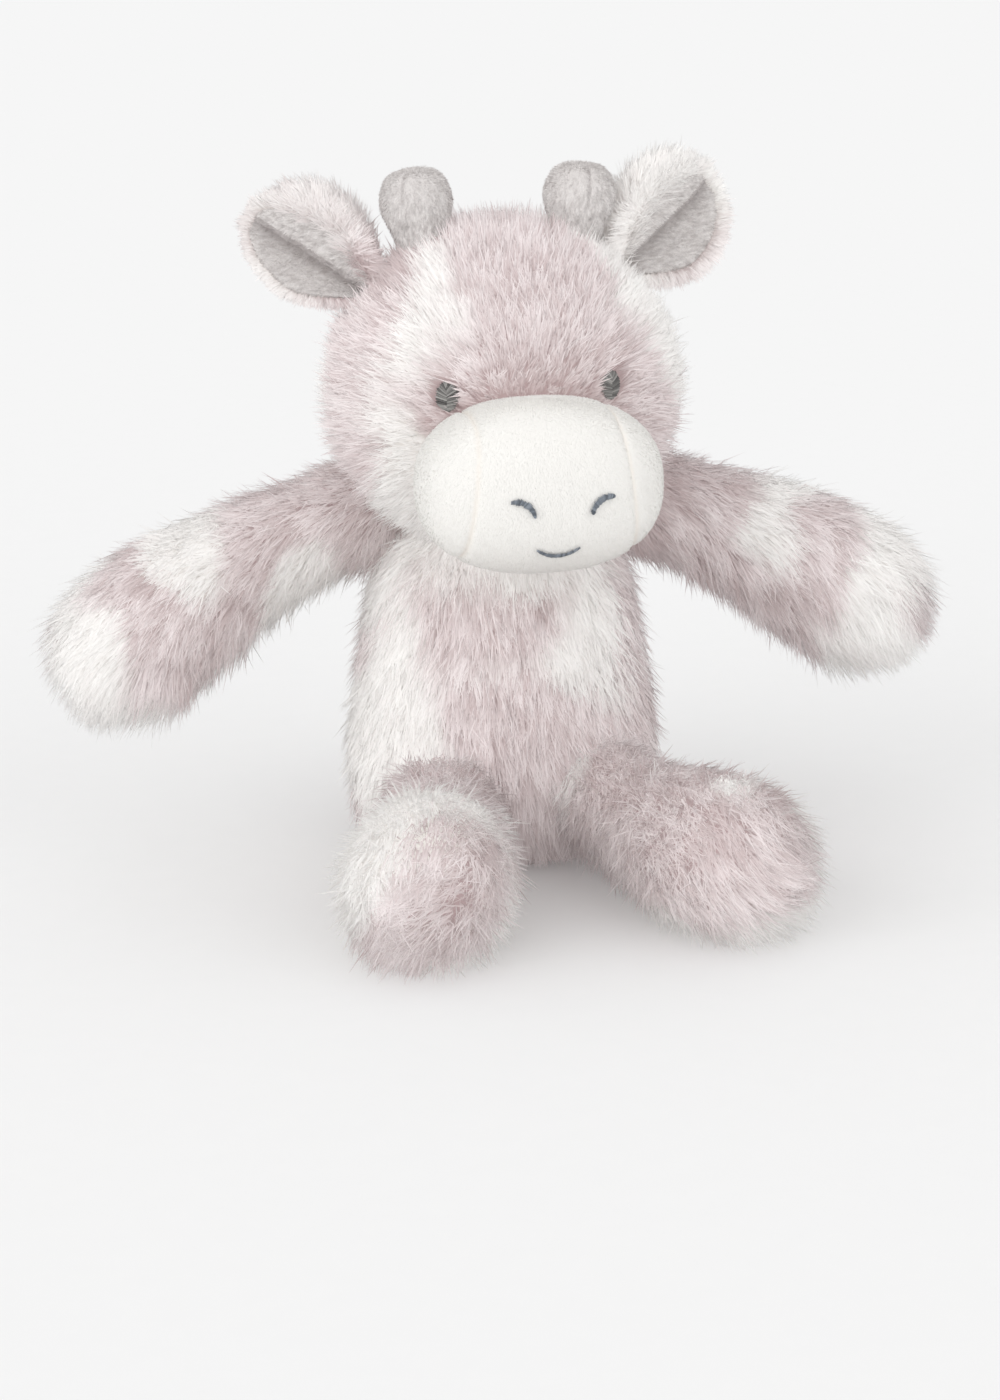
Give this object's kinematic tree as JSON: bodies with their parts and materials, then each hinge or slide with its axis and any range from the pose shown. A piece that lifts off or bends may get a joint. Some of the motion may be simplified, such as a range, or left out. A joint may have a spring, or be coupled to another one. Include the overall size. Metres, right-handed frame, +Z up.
{
  "type": "plush giraffe comforter",
  "caption": "Seated plush giraffe comforter with a furry head, short-plush muzzle, stub horns, folded ears, and floppy arms, legs and tail sewn to a slack body.",
  "frame": {"origin": "on the floor under the middle of the seat", "axes": "+Z up, face towards -Y, the toy's own left at +X"},
  "size_m": [0.317, 0.2427, 0.2492],
  "materials": {
    "fur": "long-pile fur, mauve and cream-white patches",
    "muzzle_plush": "short-pile cream plush",
    "grey_plush": "short-pile grey plush",
    "thread": "satin-stitched thread",
    "seam_thread": "sewing thread",
    "stuffing": "loose fibre filling"
  },
  "bodies": {
    "torso": {"body_front_panel": "fur", "body_back_panel": "fur", "body_stuffing": "stuffing"},
    "neck": {"neck_stitching": "seam_thread"},
    "head": {"head_crown_gusset": "fur", "head_left_panel": "fur", "head_right_panel": "fur", "muzzle_center_panel": "muzzle_plush", "muzzle_left_panel": "muzzle_plush", "muzzle_right_panel": "muzzle_plush", "head_stuffing": "stuffing", "left_eye": "thread", "right_eye": "thread", "left_nostril": "thread", "right_nostril": "thread", "smile": "thread", "left_horn_cover": "grey_plush", "right_horn_cover": "grey_plush", "left_horn_stuffing": "stuffing", "right_horn_stuffing": "stuffing"},
    "left_ear": {"left_ear_back": "fur", "left_ear_lining": "grey_plush"},
    "right_ear": {"right_ear_back": "fur", "right_ear_lining": "grey_plush"},
    "left_arm": {"left_arm_front_panel": "fur", "left_arm_back_panel": "fur", "left_arm_stuffing": "stuffing"},
    "right_arm": {"right_arm_front_panel": "fur", "right_arm_back_panel": "fur", "right_arm_stuffing": "stuffing"},
    "left_leg": {"left_leg_top_panel": "fur", "left_leg_under_panel": "fur", "left_leg_stuffing": "stuffing"},
    "right_leg": {"right_leg_top_panel": "fur", "right_leg_under_panel": "fur", "right_leg_stuffing": "stuffing"},
    "tail": {"tail_cord": "fur", "tail_tuft": "fur"}
  },
  "joints": [
    {"name": "head_turn", "type": "hinge", "parent": "torso", "child": "neck", "pos_m": [0, -0.004, 0.128], "axis": [0, 0, 1], "range_deg": [-14, 14], "stiffness_Nm_per_rad": 0.3},
    {"name": "head_nod", "type": "hinge", "parent": "neck", "child": "head", "pos_m": [0, -0.004, 0.128], "axis": [1, 0, 0], "range_deg": [-6, 10], "stiffness_Nm_per_rad": 0.6},
    {"name": "left_ear_flap", "type": "hinge", "parent": "head", "child": "left_ear", "pos_m": [0.04099, -0.003, 0.21013], "axis": [0, 1, 0], "range_deg": [-6, 20], "stiffness_Nm_per_rad": 0.02},
    {"name": "right_ear_flap", "type": "hinge", "parent": "head", "child": "right_ear", "pos_m": [-0.04099, -0.003, 0.21013], "axis": [0, -1, 0], "range_deg": [-18, 6], "stiffness_Nm_per_rad": 0.02},
    {"name": "left_arm_lift", "type": "hinge", "parent": "torso", "child": "left_arm", "pos_m": [0.044, 0.012, 0.126], "axis": [0.1392, 0.9903, 0], "range_deg": [-8, 25]},
    {"name": "right_arm_lift", "type": "hinge", "parent": "torso", "child": "right_arm", "pos_m": [-0.044, 0.012, 0.126], "axis": [0.1392, -0.9903, 0], "range_deg": [-8, 25]},
    {"name": "left_leg_lift", "type": "hinge", "parent": "torso", "child": "left_leg", "pos_m": [0.03, -0.034, 0.0255], "axis": [-1, 0, 0], "range_deg": [-10, 40]},
    {"name": "right_leg_lift", "type": "hinge", "parent": "torso", "child": "right_leg", "pos_m": [-0.03, -0.034, 0.0255], "axis": [-1, 0, 0], "range_deg": [-10, 40]},
    {"name": "tail_swing", "type": "hinge", "parent": "torso", "child": "tail", "pos_m": [0, 0.0395, 0.04], "axis": [0, 0, 1], "range_deg": [-25, 25]}
  ]
}
